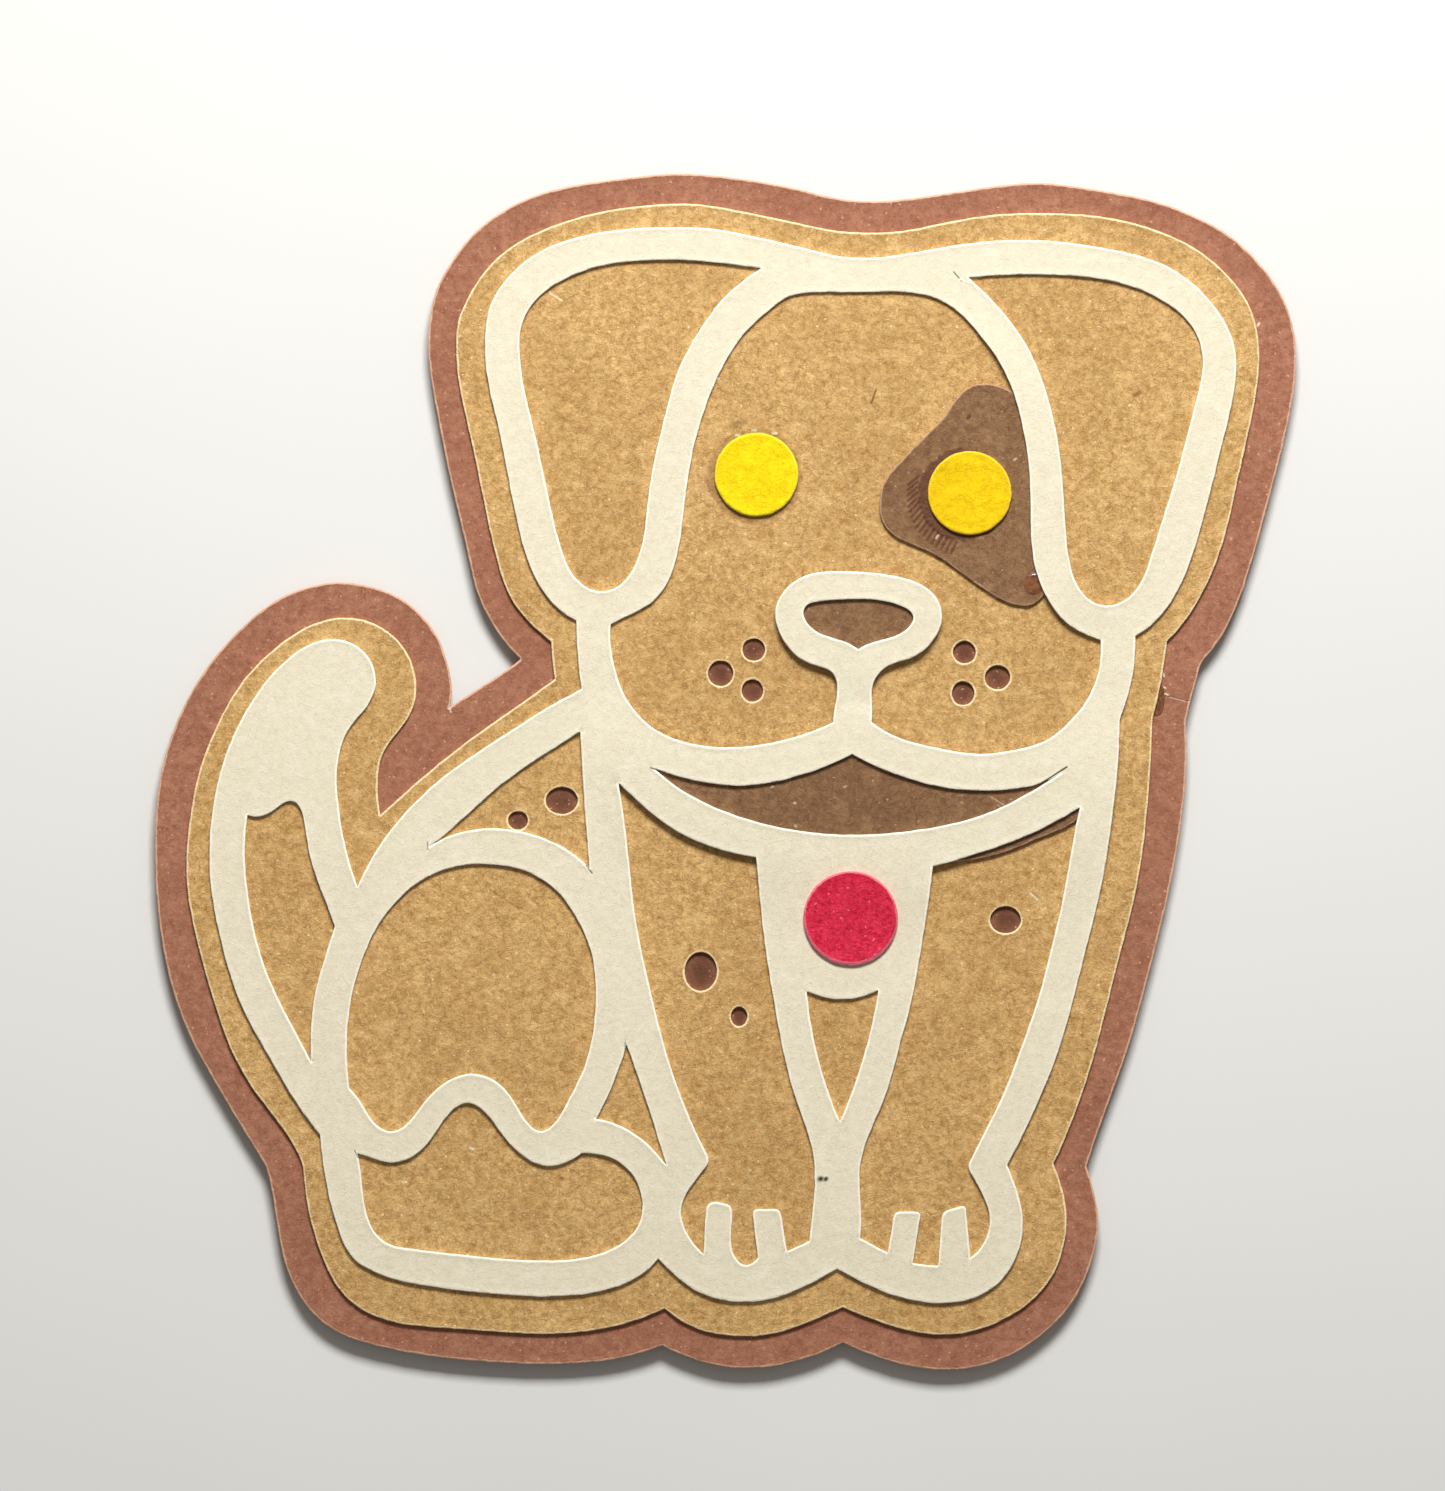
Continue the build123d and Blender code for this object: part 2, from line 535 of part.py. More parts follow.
# under the outline card: a thin dot where it lies on the coat or on a filler, a thick one where it
# bridges from the coat up to its raised part
low_glue_middles = [
    (-11.0, 39.0), (-2.0, 39.6), (20.5, 38.7), (28.5, 38.1), (-29.2, -30.5), (-20.0, -38.0),
    (-13.0, -38.4), (1.0, -38.7), (8.5, -34.0), (15.0, -38.8), (20.9, -35.0),
]
bridge_glue_middles = [
    (-16.0, 26.0), (-3.2, 26.0), (36.4, 25.0), (-9.9, 8.0), (29.4, 7.0), (-14.5, 2.4),
    (-34.0, 4.0), (-37.5, -6.0), (-30.0, -6.0), (-9.2, -3.0), (-8.3, -13.0), (26.6, -10.0),
    (4.3, -10.0), (14.3, -10.0),
]
filler_glue_middles = [(23.8, 20.0), (9.4, 13.5), (1.1, -0.6), (17.8, -0.9), (9.4, -5.6)]

with BuildPart() as outline_glue:
    with BuildSketch(Plane.XY.offset(filler_glue_z)):
        with Locations(*low_glue_middles):
            Circle(glue_dot_radius)
    extrude(amount=glue_thickness)
    with BuildSketch(Plane.XY.offset(filler_glue_z)):
        with Locations(*bridge_glue_middles):
            Circle(glue_dot_radius)
    extrude(amount=raised_z - filler_glue_z)
    with BuildSketch(Plane.XY.offset(raised_glue_z)):
        with Locations(*filler_glue_middles):
            Circle(small_glue_dot_radius)
    # the last one is squeezed out into sight at the foot of the eye patch
    with BuildSketch(Plane.XY.offset(raised_glue_z)):
        with Locations((23.3, 14.0)):
            Circle(squeezed_glue_radius)
    extrude(amount=glue_thickness)
finish_piece(outline_glue, "outline_glue")
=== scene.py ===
"""Looks for the layered card puppy: die-cut card, punched dots, dried glue and foam pads.

Every card is made again from the outline of its CAD node, with a low lip along its cut edges, a slight
waviness and small marks.  The cream line-work is one sheet that drapes over the brown cards.  Shapes
are worked out in millimetres and turned into metres when a mesh is made.
"""

import math

import bpy
import numpy as np
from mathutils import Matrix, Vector, kdtree, noise
from mathutils.geometry import delaunay_2d_cdt


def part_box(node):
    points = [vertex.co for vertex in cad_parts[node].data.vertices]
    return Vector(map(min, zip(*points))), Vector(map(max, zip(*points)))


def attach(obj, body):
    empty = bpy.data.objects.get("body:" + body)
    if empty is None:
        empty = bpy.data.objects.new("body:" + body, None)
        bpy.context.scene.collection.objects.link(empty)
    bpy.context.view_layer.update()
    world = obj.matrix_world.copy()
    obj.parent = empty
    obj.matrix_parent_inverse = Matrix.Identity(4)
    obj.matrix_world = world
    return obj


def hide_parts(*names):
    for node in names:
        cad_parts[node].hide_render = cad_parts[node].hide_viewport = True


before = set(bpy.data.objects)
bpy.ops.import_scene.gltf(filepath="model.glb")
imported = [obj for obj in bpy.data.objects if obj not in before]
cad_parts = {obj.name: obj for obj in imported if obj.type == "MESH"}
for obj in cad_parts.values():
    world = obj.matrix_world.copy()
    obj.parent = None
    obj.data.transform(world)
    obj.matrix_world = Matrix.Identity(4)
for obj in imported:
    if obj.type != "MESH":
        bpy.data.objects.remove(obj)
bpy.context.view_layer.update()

NOISE_SEED = 4
noise.seed_set(NOISE_SEED)  # without it, noise_vector starts from the clock and differs in every run

MM = 0.001
CARD = 0.30  # thickness of every card
GLUE = 0.05  # thickness of the glue film

EDGE_STEP = 0.2  # spacing of points along a cut edge
UPWARD = 0.9  # a face whose normal rises more than this is part of a card's upper side
CORNER = math.radians(30)  # a sharper turn than this in an outline is a corner
SMOOTHING_ROUNDS = 4
RING_DEPTHS = (0.04, 0.09, 0.15, 0.23, 0.35, 0.60)  # rows of points inside a cut edge
ROW_SPACING = 0.87  # rows of a triangular grid, as a share of its step
JITTER = 0.15  # how far a point of the loose grid strays, as a share of its step

SHOULDER_WIDTH, SHOULDER_DROP = 0.09, 0.04  # the rounding of a card's cut edge
LIP_HEIGHT, LIP_DEPTH, LIP_SPREAD = 0.028, 0.16, 0.12  # the lip that the blade raised inside it
RAGGED_AMOUNT, RAGGED_SIZE, RAGGED_REACH = 0.03, 0.7, 0.8  # the unevenness of a cut edge
SHARP = math.radians(50)  # a sharper fold than this in a mesh is shaded as an edge


# ------------------------------------------------------------------------------ outlines


def upper_outline(node):
    """Closed loops of points round the upward faces of a CAD node, with the card on their left."""
    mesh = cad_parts[node].data
    places = [(round(v.co.x / MM, 4), round(v.co.y / MM, 4)) for v in mesh.vertices]
    edges = set()
    for face in mesh.polygons:
        if face.normal.z < UPWARD:
            continue
        corners = [places[i] for i in face.vertices]
        for start, end in zip(corners, corners[1:] + corners[:1]):
            if (end, start) in edges:
                edges.remove((end, start))
            elif start != end:
                edges.add((start, end))
    following = dict(sorted(edges))
    loops = []
    while following:
        first, point = following.popitem()
        loop = [first]
        while point != first:
            loop.append(point)
            point = following.pop(point)
        loops.append(np.array(loop))
    return loops


def evened(loop, step=EDGE_STEP):
    """The loop with evenly spaced points.

    Notches in the card stay sharp.  Its own corners and round stretches are smoothed a little.
    """
    ahead = np.roll(loop, -1, axis=0) - loop
    heading = np.arctan2(ahead[:, 1], ahead[:, 0])
    turn = (heading - np.roll(heading, 1) + math.pi) % (2 * math.pi) - math.pi
    corners = list(np.flatnonzero(np.abs(turn) > CORNER)) or [0]
    points, fixed = [], []
    for start, end in zip(corners, corners[1:] + [corners[0] + len(loop)]):
        stretch = loop[np.arange(start, end + 1) % len(loop)]
        along = np.concatenate([[0], np.cumsum(np.linalg.norm(np.diff(stretch, axis=0), axis=1))])
        count = max(2, round(along[-1] / step))
        places = np.linspace(0, along[-1], count + 1)[:-1]
        points += list(np.column_stack([np.interp(places, along, stretch[:, k]) for k in (0, 1)]))
        fixed += [turn[start % len(loop)] < -CORNER] + [False] * (count - 1)
    points, free = np.array(points), ~np.array(fixed)
    for _ in range(SMOOTHING_ROUNDS):
        middle = (np.roll(points, 1, axis=0) + np.roll(points, -1, axis=0)) / 2
        points[free] += 0.5 * (middle - points)[free]
    return points


class Outline:
    """The closed outline of a card, which knows how deep inside it a point lies."""

    def __init__(self, loops):
        self.loops = loops
        self.start = np.concatenate(loops)
        self.end = np.concatenate([np.roll(loop, -1, axis=0) for loop in loops])
        self.following = np.empty(len(self.start), int)
        first = 0
        for loop in loops:
            indices = np.arange(first, first + len(loop))
            self.following[indices] = np.roll(indices, -1)
            first += len(loop)
        self.before = np.argsort(self.following)
        along = self.end - self.start
        self.length = np.linalg.norm(along, axis=1)
        along /= self.length[:, None]
        self.along = along
        self.inward = np.column_stack([-along[:, 1], along[:, 0]])
        corner = self.inward + self.inward[self.before]
        self.corner_inward = corner / np.maximum(np.linalg.norm(corner, axis=1), 1e-9)[:, None]
        self.tree = kdtree.KDTree(len(self.start))
        for i, (x, y) in enumerate(self.start):
            self.tree.insert((x, y, 0), i)
        self.tree.balance()

    def depth(self, points):
        """How far inside the outline each point is.  It is negative outside."""
        points = np.asarray(points, float)
        nearest = np.array([self.tree.find((x, y, 0))[1] for x, y in points])
        best = np.linalg.norm(points - self.start[nearest], axis=1)
        away = points - self.start[nearest]
        sign = np.sign((away * self.corner_inward[nearest]).sum(axis=1))
        for segment in (nearest, self.before[nearest]):
            away = points - self.start[segment]
            along = (away * self.along[segment]).sum(axis=1)
            across = (away * self.inward[segment]).sum(axis=1)
            beside = (along > 0) & (along < self.length[segment]) & (np.abs(across) < best)
            best = np.where(beside, np.abs(across), best)
            sign = np.where(beside, np.sign(across), sign)
        return best * sign


outlines = {}


def outline_of(node):
    """The evened outline of a CAD node, worked out once."""
    if node not in outlines:
        outlines[node] = Outline([evened(loop) for loop in upper_outline(node)])
    return outlines[node]


# ------------------------------------------------------------------------------ card meshes


def edge_profile(depth, width, drop):
    """Height changed near a cut edge: a rounded shoulder, then the low lip that the blade raised."""
    shoulder = -drop * np.clip(1 - depth / width, 0, 1) ** 2
    raised = LIP_HEIGHT * np.exp(-(((depth - LIP_DEPTH) / LIP_SPREAD) ** 2))
    return shoulder + raised


def waviness(points, seed, size, amount):
    """A gentle unevenness of the sheet, different for every seed."""
    offset = seed * 17.3
    return amount * np.array([noise.noise((x / size, y / size, offset)) for x, y in points])


def ragged(points, depth, seed):
    """The points with the small unevenness of a hand-fed die-cut edge, which fades inside the card."""
    fade = np.clip(1 - depth / RAGGED_REACH, 0, 1)[:, None]
    offset = 31.7 * seed
    shifts = [noise.noise_vector((x / RAGGED_SIZE, y / RAGGED_SIZE, offset))[:2] for x, y in points]
    return points + RAGGED_AMOUNT * fade * np.array(shifts)


def fill_points(outline, grid, seed, fine=()):
    """Points inside a card: rows along its edge, a loose grid, and finer grids where asked.

    Each finer grid is (middle, reach, step).  Points that come too close to an edge are left out.
    """
    chosen = []
    for depth in RING_DEPTHS:
        row = outline.start + 0.5 * outline.length[:, None] * outline.along + depth * outline.inward
        chosen.append(row[outline.depth(row) > 0.96 * depth])
    low, high = outline.start.min(axis=0), outline.start.max(axis=0)
    rng = np.random.default_rng(seed)
    columns = np.arange(low[0], high[0], grid)
    rows = np.arange(low[1], high[1], grid * ROW_SPACING)
    x, y = np.meshgrid(columns, rows)
    x[1::2] += grid / 2
    loose = np.column_stack([x.ravel(), y.ravel()]) + rng.uniform(-JITTER, JITTER, (x.size, 2)) * grid
    chosen.append(loose[outline.depth(loose) > RING_DEPTHS[-1] + 0.4 * grid])
    for middle, reach, step in fine:
        count = int(reach / step)
        x, y = np.meshgrid(np.arange(-count, count + 1) * step, np.arange(-count, count + 1) * step)
        x[1::2] += step / 2
        close = np.column_stack([x.ravel(), y.ravel()])
        close = close[np.linalg.norm(close, axis=1) < reach] + middle
        chosen = [points[np.linalg.norm(points - middle, axis=1) > reach] for points in chosen]
        chosen.append(close[outline.depth(close) > 0.3 * step])
    return np.concatenate(chosen)


def triangulated(outline, grid, seed, fine=()):
    """(points, triangles, border) of a card's face, where border is its directed edges."""
    inner = fill_points(outline, grid, seed, fine)
    points = [Vector(p) for p in np.concatenate([outline.start, inner])]
    rim = [(i, int(j)) for i, j in enumerate(outline.following)]
    out, _, faces, *_ = delaunay_2d_cdt(points, rim, [], 0, 1e-5)
    flat = np.array([tuple(p) for p in out])
    faces = np.array(faces)
    keep = outline.depth(flat[faces].mean(axis=1)) > 0
    faces = faces[keep]
    used = np.unique(faces)
    renumber = np.full(len(flat), -1)
    renumber[used] = np.arange(len(used))
    faces = renumber[faces]
    directed = {(a, b) for f in faces for a, b in zip(f, np.roll(f, -1))}
    border = [edge for edge in directed if (edge[1], edge[0]) not in directed]
    return flat[used], faces, sorted(border)


def make_piece(name, verts, faces, material, **attributes):
    """An object on the root body from vertices in millimetres, with a number per vertex if given."""
    mesh = bpy.data.meshes.new(name)
    mesh.from_pydata([tuple(v) for v in np.asarray(verts) * MM], [], [tuple(map(int, f)) for f in faces])
    mesh.update()
    for attribute, values in attributes.items():
        layer = mesh.attributes.new(attribute, "FLOAT", "POINT")
        layer.data.foreach_set("value", np.asarray(values, np.float32))
    mesh.materials.append(material)
    mesh.polygons.foreach_set("use_smooth", [True] * len(mesh.polygons))
    mesh.set_sharp_from_angle(angle=SHARP)
    piece = bpy.data.objects.new(name, mesh)
    bpy.context.scene.collection.objects.link(piece)
    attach(piece, "root")
    return piece


def marked(flat, marks):
    """(height, tone) that small marks give to points of a card.

    Each mark is a soft stroke: (start, end, width, rise, tone), where tone -1 darkens real stains
    and painted shade in dents, creases, cuts and holes, and 1 lightens scuffs, lint and painted highlights.
    """
    height, tone = np.zeros(len(flat)), np.zeros(len(flat))
    for start, end, width, rise, shade in marks:
        start, along = np.array(start, float), np.subtract(end, start)
        share = np.clip((flat - start) @ along / max(along @ along, 1e-9), 0, 1)
        away = np.linalg.norm(flat - start - share[:, None] * along, axis=1)
        strength = np.exp(-((away / (width / 2)) ** 4))
        height += rise * strength
        tone = np.where(np.abs(shade * strength) > np.abs(tone), shade * strength, tone)
    return height, tone


def fine_areas(marks):
    """The places where a card's mesh has to be fine enough to carry its marks."""
    return [
        (np.add(start, end) / 2, math.dist(start, end) / 2 + 1.2 * width, max(width / 3, 0.04))
        for start, end, width, *_ in marks
    ]


def make_card(name, node, underside, material, grid, seed, width=SHOULDER_WIDTH,
              drop=SHOULDER_DROP, wave=(9.0, 0.012), relief=None, marks=()):
    """A card cut to its CAD node's outline, lying with its underside at the height given.

    grid is the spacing of the mesh, and wave is the (size, amount) of the sheet's unevenness.
    width may be a number or a function of the points, for a shoulder that is wider on one side.
    """
    outline = outline_of(node)
    flat, faces, border = triangulated(outline, grid, seed, fine_areas(marks))
    depth = outline.depth(flat)
    depth[np.unique(np.array(border))] = 0.0
    depth = np.maximum(depth, 0)
    low = underside(flat) + waviness(flat, seed, *wave)
    top = low + CARD + edge_profile(depth, width(flat) if callable(width) else width, drop)
    if relief is not None:
        top = top + relief(flat)
    rise, tone = marked(flat, marks)
    top = top + rise
    flat = ragged(flat, depth, seed)
    count = len(flat)
    verts = np.concatenate([np.column_stack([flat, top]), np.column_stack([flat, low])])
    below = faces[:, ::-1] + count
    walls = [(b, a, a + count, b + count) for a, b in border]
    rims = np.concatenate([depth, depth])
    tones = np.concatenate([tone, np.zeros(count)])
    piece = make_piece(name, verts, list(faces) + list(below) + walls, material, rim=rims, tone=tones)
    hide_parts(node)


# ------------------------------------------------------------------------------ materials


class Paint:
    """A material under construction: most calls add a node and give its output."""

    def __init__(self, name):
        self.material = bpy.data.materials.new(name)
        self.material.use_nodes = True
        self.nodes = self.material.node_tree.nodes
        self.links = self.material.node_tree.links
        self.shader = self.nodes["Principled BSDF"]
        coordinates = self.nodes.new("ShaderNodeTexCoord")
        self.place = self.vector("MULTIPLY", coordinates.outputs["Object"], (1 / MM,) * 3)

    def put(self, socket, value):
        if isinstance(value, bpy.types.NodeSocket):
            self.links.new(value, socket)
        elif value is not None:
            socket.default_value = value

    def worked(self, kind, operation, values):
        step = self.nodes.new(kind)
        step.operation = operation
        for socket, value in zip(step.inputs, values):
            self.put(socket, value)
        return step

    def vector(self, operation, *values):
        step = self.worked("ShaderNodeVectorMath", operation, values)
        return step.outputs["Value" if operation == "LENGTH" else "Vector"]

    def math(self, operation, *values, clamp=False):
        step = self.worked("ShaderNodeMath", operation, values)
        step.use_clamp = clamp
        return step.outputs[0]

    def mapped(self, value, low, high, to_low=0.0, to_high=1.0, smooth=True):
        step = self.nodes.new("ShaderNodeMapRange")
        step.interpolation_type = "SMOOTHSTEP" if smooth else "LINEAR"
        for name, given in zip(
            ("Value", "From Min", "From Max", "To Min", "To Max"), (value, low, high, to_low, to_high)
        ):
            self.put(step.inputs[name], given)
        return step.outputs["Result"]

    def noise(self, scale, detail=2.0, roughness=0.5, distortion=0.0, where=None):
        step = self.nodes.new("ShaderNodeTexNoise")
        self.put(step.inputs["Vector"], self.place if where is None else where)
        step.inputs["Scale"].default_value = scale
        step.inputs["Detail"].default_value = detail
        step.inputs["Roughness"].default_value = roughness
        step.inputs["Distortion"].default_value = distortion
        return step.outputs["Fac"]

    def stretched(self, angle, length, width, offset):
        """Places turned and stretched, so that noise there becomes fibres of that size."""
        step = self.nodes.new("ShaderNodeMapping")
        self.put(step.inputs["Vector"], self.place)
        step.vector_type = "TEXTURE"
        step.inputs["Location"].default_value = (offset, offset * 0.7, 0)
        step.inputs["Rotation"].default_value = (0, 0, angle)
        step.inputs["Scale"].default_value = (length, width, width)
        return step.outputs["Vector"]

    def fibres(self, count, length, width, low, high):
        """Sparse thin fibres that lie in many directions, 1 on a fibre."""
        total = None
        for i in range(count):
            angle = math.pi * (i + 0.37) / count
            one = self.noise(1.0, 1.0, 0.4, 0.6, where=self.stretched(angle, length, width, 11.0 * i))
            one = self.mapped(one, low, high)
            total = one if total is None else self.math("MAXIMUM", total, one)
        return total

    def mix(self, share, a, b):
        step = self.nodes.new("ShaderNodeMix")
        step.data_type = "RGBA"
        self.put(step.inputs["Factor"], share)
        for socket in step.inputs:
            if socket.type == "RGBA":
                given = a if socket.name == "A" else b
                self.put(socket, given if isinstance(given, bpy.types.NodeSocket) else (*given, 1.0))
        return next(output for output in step.outputs if output.type == "RGBA")

    def attribute(self, name):
        step = self.nodes.new("ShaderNodeAttribute")
        step.attribute_name = name
        return step.outputs["Fac"]

    def spot(self, middle, radius, soft, stretch=(1, 1), wander=0.0):
        """1 within the radius round a point of the card, falling to 0 over the soft distance."""
        away = self.vector("MULTIPLY", self.vector("SUBTRACT", self.place, (*middle, 0)), (*stretch, 0))
        away = self.vector("LENGTH", away)
        if wander:
            uneven = self.math("MULTIPLY", self.math("SUBTRACT", self.noise(1.1, 2.0), 0.5), 2 * wander)
            away = self.math("ADD", away, uneven)
        return self.mapped(away, radius + soft, radius)

    def bump(self, height, distance):
        step = self.nodes.new("ShaderNodeBump")
        step.inputs["Distance"].default_value = distance * MM
        self.put(step.inputs["Height"], height)
        return step.outputs["Normal"]

    def finish(self, colour, roughness, normal=None, specular=0.3):
        self.put(self.shader.inputs["Base Color"], colour)
        self.put(self.shader.inputs["Roughness"], roughness)
        self.put(self.shader.inputs["Normal"], normal)
        self.shader.inputs["Specular IOR Level"].default_value = specular
        return self.material


def linear(red, green, blue):
    """A colour as it looks on a screen, 0 to 255, as the shader's linear numbers."""
    shares = [value / 255 for value in (red, green, blue)]
    return tuple(s / 12.92 if s <= 0.04045 else ((s + 0.055) / 1.055) ** 2.4 for s in shares)


def card_paint(name, base, dark, light, edge, tooth=2.2, contrast=0.3, relief=0.02, fibre=0.3,
               edge_share=0.9, edge_width=0.17, cloud_share=0.25, mottle=0.7, stain_and_shade=None, scuff_and_highlight=None,
               extra=None):
    """Coloured card: a mottled, toothy surface with loose fibres and a paler cut edge,
    which is partly the card's paler core and partly a painted highlight along the edge.

    extra may change the colour, the roughness and the height before the material is finished.
    """
    paint = Paint(name)
    blotch = paint.noise(tooth, 3.0, 0.6, 0.4)
    grain = paint.noise(tooth * 4.1, 2.0, 0.6)
    patches = paint.noise(0.75, 2.0, 0.5)
    cloud = paint.noise(0.13, 3.0, 0.5)
    light_fibres = paint.fibres(6, length=1.1, width=0.10, low=0.67, high=0.74)
    dark_fibres = paint.fibres(3, length=0.7, width=0.09, low=0.70, high=0.78)
    shade = paint.math("ADD", paint.math("MULTIPLY", blotch, 0.6), paint.math("MULTIPLY", grain, 0.4))
    shade = paint.mapped(shade, 0.5 - 0.5 * contrast, 0.5 + 0.5 * contrast, smooth=False)
    colour = paint.mix(mottle, base, paint.mix(shade, dark, light))
    colour = paint.mix(paint.mapped(cloud, 0.35, 0.65, 0.0, cloud_share), colour, dark)
    colour = paint.mix(paint.mapped(patches, 0.5, 0.75, 0.0, 0.4), colour, light)
    colour = paint.mix(paint.math("MULTIPLY", light_fibres, fibre), colour, light)
    colour = paint.mix(paint.math("MULTIPLY", dark_fibres, fibre), colour, dark)
    # The edge colour along each cut edge is partly the card's paler core and partly a painted highlight of
    # light catching the edge.
    uneven = paint.math("MULTIPLY", paint.math("SUBTRACT", paint.noise(1.7, 2.0), 0.5), 0.16)
    rim = paint.mapped(paint.math("ADD", paint.attribute("rim"), uneven), edge_width, 0.6 * edge_width)
    colour = paint.mix(paint.math("MULTIPLY", rim, edge_share), colour, edge)
    tone = paint.attribute("tone")
    # Negative tones paint real stains and painted shade; positive tones paint scuffs, lint and painted
    # highlights.
    colour = paint.mix(paint.mapped(tone, 0.0, -1.0, smooth=False), colour, stain_and_shade or dark)
    colour = paint.mix(paint.mapped(tone, 0.0, 1.0, smooth=False), colour, scuff_and_highlight or light)
    specks = paint.mapped(paint.noise(3.0, 1.0, 0.5), 0.70, 0.75)
    colour = paint.mix(paint.math("MULTIPLY", specks, 1.6 * fibre, clamp=True), colour, edge)
    height = paint.math("ADD", blotch, paint.math("MULTIPLY", grain, 0.35))
    height = paint.math("ADD", height, paint.math("MULTIPLY", light_fibres, 0.25))
    height = paint.math("SUBTRACT", height, paint.math("MULTIPLY", dark_fibres, 0.2))
    roughness = paint.mapped(grain, 0.3, 0.7, 0.78, 0.95)
    if extra:
        colour, roughness, height = extra(paint, colour, roughness, height)
    return paint.finish(colour, roughness, paint.bump(height, relief), specular=0.25)


def middle_of(node):
    """The middle of a CAD node's box on the card, in millimetres."""
    low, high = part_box(node)
    return ((low.x + high.x) / 2 / MM, (low.y + high.y) / 2 / MM)


def shifted(point, x, y):
    return (point[0] + x, point[1] + y)


left_eye, right_eye, chest = (middle_of(n) for n in ("left_eye_dot", "right_eye_dot", "chest_dot"))
EYE_RADIUS, CHEST_RADIUS = (
    (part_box(node)[1].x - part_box(node)[0].x) / 2 / MM for node in ("left_eye_dot", "chest_dot")
)
WET_GLUE_UP = 5.2  # from the middle of the card, towards the ears
wet_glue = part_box("coat_glue")[1].x / MM, WET_GLUE_UP  # the drop squeezed out beside the right cheek


def glue_soaked(paint, colour, roughness, height):
    """Wet-looking glue that soaked into the backing beside the right cheek."""
    soaked = paint.spot(shifted(wet_glue, 0.1, -0.3), 0.95, 0.25, stretch=(1, 0.48), wander=0.3)
    colour = paint.mix(paint.math("MULTIPLY", soaked, 0.75), colour, linear(104, 58, 36))
    roughness = paint.math("SUBTRACT", roughness, paint.math("MULTIPLY", soaked, 0.6))
    return colour, roughness, height


def glue_round_left_eye(paint, colour, roughness, height):
    """The faint brown ring of glue that crept out from under the left eye dot."""
    crept = paint.spot(shifted(left_eye, -0.12, -0.1), EYE_RADIUS + 0.25, 0.3, wander=0.3)
    colour = paint.mix(paint.math("MULTIPLY", crept, 0.45), colour, linear(132, 88, 46))
    roughness = paint.math("SUBTRACT", roughness, paint.math("MULTIPLY", crept, 0.35))
    return colour, roughness, height


def glue_round_right_eye(paint, colour, roughness, height):
    """The dark crescent of glue that crept out from under the right eye dot."""
    crept = paint.spot(shifted(right_eye, -0.45, -0.15), EYE_RADIUS + 0.15, 0.25, wander=0.35)
    colour = paint.mix(paint.math("MULTIPLY", crept, 0.7), colour, linear(84, 42, 26))
    roughness = paint.math("SUBTRACT", roughness, paint.math("MULTIPLY", crept, 0.3))
    return colour, roughness, height


def slanted_cut(paint, colour, roughness, height):
    """The pale core of the red card, which shows where the punch cut it at a slant."""
    face = paint.spot(shifted(chest, 0.04, 0.16), CHEST_RADIUS - 0.17, 0.07)
    core = paint.math("SUBTRACT", 1.0, face)
    return paint.mix(paint.math("MULTIPLY", core, 0.65), colour, linear(246, 132, 150)), roughness, height


# The backing's dark mark colour is used only for the painted shade inside the coat's punched spots.
backing_paint = card_paint(
    "backing_card_stock", linear(163, 107, 83), linear(138, 83, 62), linear(190, 136, 108),
    linear(228, 182, 152), tooth=1.8, relief=0.07, fibre=0.35, stain_and_shade=linear(84, 50, 34),
    scuff_and_highlight=linear(244, 226, 204), extra=glue_soaked,
)
# The coat's pale mark colour is near-white for its scrapes and for the painted glints on the glue beads by
# the left eye.
coat_paint = card_paint(
    "kraft_card_stock", linear(200, 156, 90), linear(165, 120, 63), linear(240, 201, 138),
    linear(255, 230, 180), tooth=2.0, relief=0.11, fibre=0.4, mottle=0.8, edge_share=1.0,
    stain_and_shade=linear(104, 68, 31), scuff_and_highlight=linear(255, 240, 205), extra=glue_round_left_eye,
)
filler_paint = card_paint(
    "brown_card_stock", linear(132, 95, 67), linear(102, 68, 44), linear(166, 129, 92),
    linear(205, 165, 135), tooth=2.2, relief=0.09, fibre=0.35, edge_share=0.8, edge_width=0.13,
    stain_and_shade=linear(88, 42, 30), scuff_and_highlight=linear(225, 200, 165), extra=glue_round_right_eye,
)
# The cream's dark mark colour serves the speck of dirt and the painted shade in the over-run cuts.
outline_paint = card_paint(
    "cream_card_stock", linear(232, 223, 197), linear(222, 212, 185), linear(242, 235, 214),
    linear(255, 252, 236), tooth=1.6, relief=0.04, fibre=0.15, mottle=0.5, edge_share=1.0, cloud_share=0.12,
    stain_and_shade=linear(34, 28, 22), scuff_and_highlight=linear(255, 252, 240),
)


def yellow_paint(name, red, green, blue):
    """Yellow card, a little different in tone from one punched dot to the other."""
    return card_paint(
        name, linear(red, green, blue), linear(0.94 * red, 0.9 * green, 0), linear(255, 1.05 * green, 14),
        linear(255, 1.06 * green, 60), tooth=1.5, relief=0.07, fibre=0.05,
    )


eye_paints = {
    "left": yellow_paint("yellow_card_stock", 250, 222, 3),
    "right": yellow_paint("deep_yellow_card_stock", 240, 205, 0),
}
red_paint = card_paint(
    "red_card_stock", linear(226, 22, 60), linear(190, 10, 44), linear(255, 64, 100),
    linear(255, 130, 152), tooth=3.2, relief=0.12, fibre=0.6, contrast=0.22, mottle=0.9,
    extra=slanted_cut,
)


